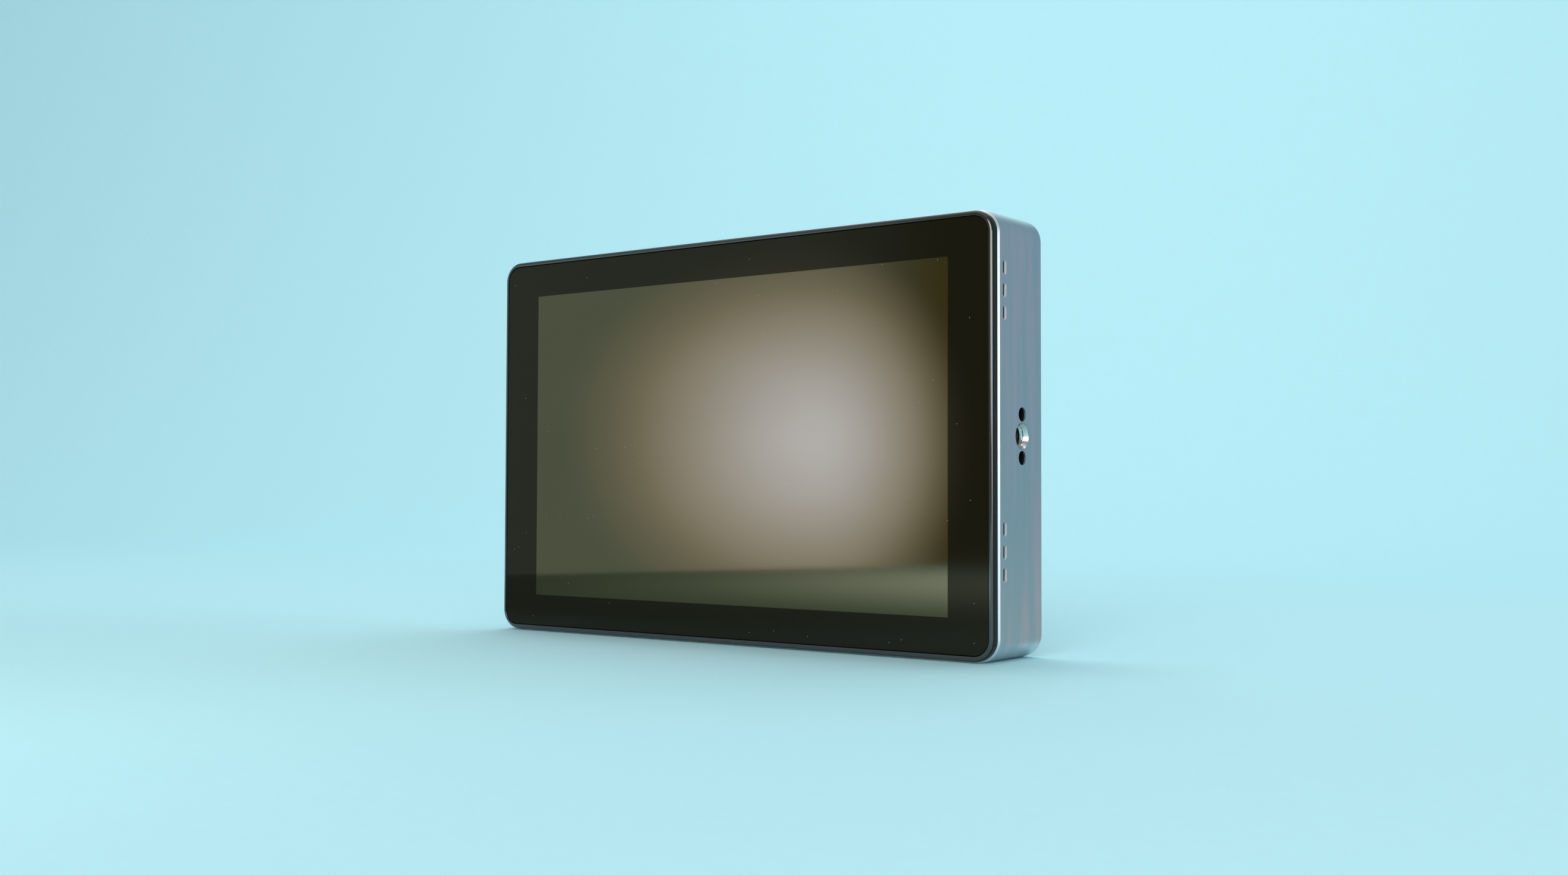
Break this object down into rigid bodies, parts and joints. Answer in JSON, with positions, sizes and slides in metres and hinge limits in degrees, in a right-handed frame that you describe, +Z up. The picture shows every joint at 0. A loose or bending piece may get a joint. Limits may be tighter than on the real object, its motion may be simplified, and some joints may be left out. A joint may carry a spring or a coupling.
{
  "type": "camera field monitor",
  "caption": "Flat on-camera field monitor: a touchscreen in a milled aluminium frame with tripod threads in its edges, a rear battery shoe and rear connector bays.",
  "frame": {"origin": "on the bottom face, on the axis of the bottom tripod thread", "axes": "+Z up, the screen faces -Y, +X to the right of someone who looks at the screen"},
  "size_m": [0.18, 0.0326, 0.1175],
  "materials": {
    "milled_aluminium": "clear anodised, fine milled",
    "steel": "turned",
    "black_bezel": "satin gloss black",
    "cover_glass": "polished, black printed border",
    "optical_bond": "clear",
    "display_panel": "polarised, dark when off",
    "foam": "closed cell foam",
    "optical_film": "milky film",
    "acrylic": "clear acrylic",
    "circuit_board": "solder mask",
    "led_package": "moulded",
    "sheet_steel": "pressed sheet",
    "plain_aluminium": "rolled sheet",
    "screw_steel": "plated",
    "brass": "turned",
    "black_plastic": "moulded",
    "chip_resin": "moulded resin",
    "thermal_gum": "soft pad",
    "ferrite": "pressed",
    "nickel": "bright nickel plate",
    "white_insulator": "turned",
    "gold_contact": "gold plate",
    "black_metal": "black plate",
    "rear_plastic": "fine moulded texture",
    "plate_plastic": "moulded",
    "black_screw": "black oxide",
    "latch_plastic": "moulded, satin",
    "spring_steel": "drawn wire",
    "button_metal": "satin black"
  },
  "bodies": {
    "monitor": {"housing": "milled_aluminium", "right_thread_insert": "steel", "left_thread_insert": "steel", "top_thread_insert": "steel", "bottom_thread_insert": "steel", "front_bezel": "black_bezel", "cover_glass": "cover_glass", "bonding_layer": "optical_bond", "lcd_cell": "display_panel", "panel_gasket": "foam", "diffuser_films": "optical_film", "reflector_sheet": "optical_film", "light_guide": "acrylic", "led_strip": "circuit_board", "leds": "led_package", "backlight_tray": "sheet_steel", "heat_spreader": "plain_aluminium", "spreader_screws": "screw_steel", "board_screws": "screw_steel", "board_standoffs": "brass", "main_board": "circuit_board", "panel_connector": "black_plastic", "processor": "chip_resin", "memory_chips": "chip_resin", "thermal_pad": "thermal_gum", "power_inductors": "ferrite", "sdi_in_socket": "nickel", "sdi_out_socket": "nickel", "sdi_nuts": "nickel", "sdi_dielectrics": "white_insulator", "sdi_contacts": "gold_contact", "hdmi_in_socket": "nickel", "hdmi_out_socket": "nickel", "hdmi_tongues": "black_plastic", "power_inlet": "black_metal", "inlet_pins": "gold_contact", "headphone_jack": "black_plastic", "card_socket": "sheet_steel", "rear_cover": "rear_plastic", "rear_cover_screws": "black_screw", "battery_plate": "plate_plastic", "battery_plate_screws": "black_screw", "contact_block": "plate_plastic", "battery_contacts": "gold_contact", "latch_cage": "black_plastic", "latch_spring": "spring_steel", "power_switch": "black_plastic"},
    "power_button": {"power_button": "button_metal", "switch_plunger": "black_plastic"},
    "battery_latch": {"battery_latch": "latch_plastic"}
  },
  "joints": [
    {"name": "power_button_press", "type": "slide", "parent": "monitor", "child": "power_button", "axis": [0, 0, -1], "range_m": [0, 0.0005], "stiffness_N_per_m": 800},
    {"name": "battery_latch_press", "type": "slide", "parent": "monitor", "child": "battery_latch", "axis": [0, -1, 0], "range_m": [0, 0.0022], "stiffness_N_per_m": 500, "deforming": ["latch_spring"]}
  ]
}
